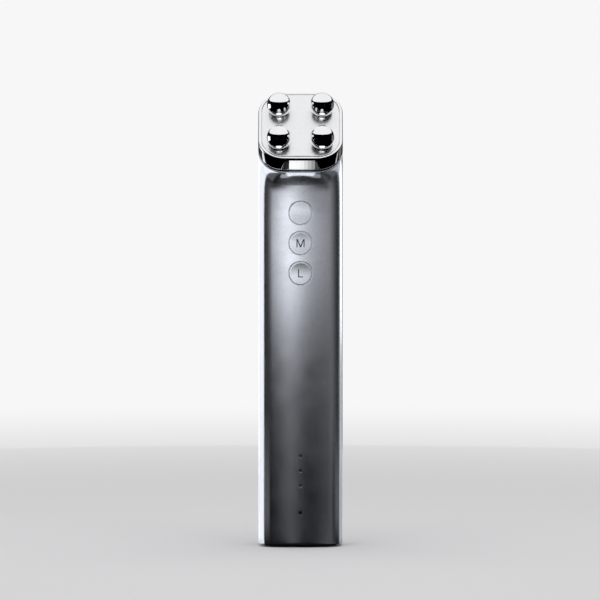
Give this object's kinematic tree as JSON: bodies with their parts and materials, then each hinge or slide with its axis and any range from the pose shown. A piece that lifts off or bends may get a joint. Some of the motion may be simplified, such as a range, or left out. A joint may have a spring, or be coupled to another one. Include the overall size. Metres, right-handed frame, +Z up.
{
  "type": "facial toning device",
  "caption": "Upright slab-bodied hand device with a forward-tilted head carrying ball electrodes, front push buttons and indicator lights.",
  "frame": {"origin": "on the ground, under the middle of the upright body's base", "axes": "+Z up along the body, -Y towards the front with the buttons, +X to the right seen from the front"},
  "size_m": [0.032, 0.0333, 0.1724],
  "materials": {
    "satin_aluminium": "bead-blasted satin, anodised silver",
    "polished_chrome": "mirror polished",
    "pearl_plate": "bright satin plating",
    "cap_aluminium": "bead-blasted satin, anodised silver",
    "black_seal": "matt",
    "insulator": "fine moulded",
    "smoked_lens": "smoked, polished",
    "switch_body": "moulded",
    "plunger": "moulded",
    "board": "solder resist",
    "component": "moulded package",
    "copper": "enamelled winding",
    "can": "bright can",
    "steel": "zinc plated",
    "cell_wrap": "shrink sleeve",
    "foam": "open-cell foam",
    "lead": "insulated wire",
    "connector": "moulded",
    "ribbon": "polyimide",
    "frame_plastic": "glass-filled moulding",
    "lamp": "moulded lamp",
    "foot_rubber": "matt"
  },
  "bodies": {
    "body": {"housing": "satin_aluminium", "head_bezel": "polished_chrome", "head_seal": "black_seal", "electrode_plate": "pearl_plate", "electrode_upper_left": "polished_chrome", "electrode_upper_right": "polished_chrome", "electrode_lower_left": "polished_chrome", "electrode_lower_right": "polished_chrome", "electrode_collars": "insulator", "electrode_carrier": "frame_plastic", "contact_board": "board", "contact_washers": "steel", "electrode_screws": "steel", "power_switch": "switch_body", "mode_switch": "switch_body", "level_switch": "switch_body", "button_retainer": "frame_plastic", "button_seals": "black_seal", "light_guide": "smoked_lens", "indicator_leds": "lamp", "main_board": "board", "board_screws": "steel", "controller_chip": "component", "output_transformer": "copper", "power_components": "can", "ribbon_connectors": "connector", "head_ribbon": "ribbon", "chassis": "frame_plastic", "battery_cell": "cell_wrap", "battery_pads": "foam", "battery_foam": "foam", "battery_plug": "connector", "battery_leads": "lead", "base_cap": "insulator", "base_seal": "black_seal", "base_screws": "steel", "foot_pad": "foot_rubber", "charge_port_shell": "steel", "charge_port_tongue": "component"},
    "power_press": {"power_button": "cap_aluminium", "power_plunger": "plunger"},
    "mode_press": {"mode_button": "cap_aluminium", "mode_plunger": "plunger"},
    "level_press": {"level_button": "cap_aluminium", "level_plunger": "plunger"}
  },
  "joints": [
    {"name": "power_travel", "type": "slide", "parent": "body", "child": "power_press", "axis": [0, 1, 0], "range_m": [0, 0.00035], "stiffness_N_per_m": 500, "springref_m": -0.001},
    {"name": "mode_travel", "type": "slide", "parent": "body", "child": "mode_press", "axis": [0, 1, 0], "range_m": [0, 0.00035], "stiffness_N_per_m": 500, "springref_m": -0.001},
    {"name": "level_travel", "type": "slide", "parent": "body", "child": "level_press", "axis": [0, 1, 0], "range_m": [0, 0.00035], "stiffness_N_per_m": 500, "springref_m": -0.001}
  ]
}
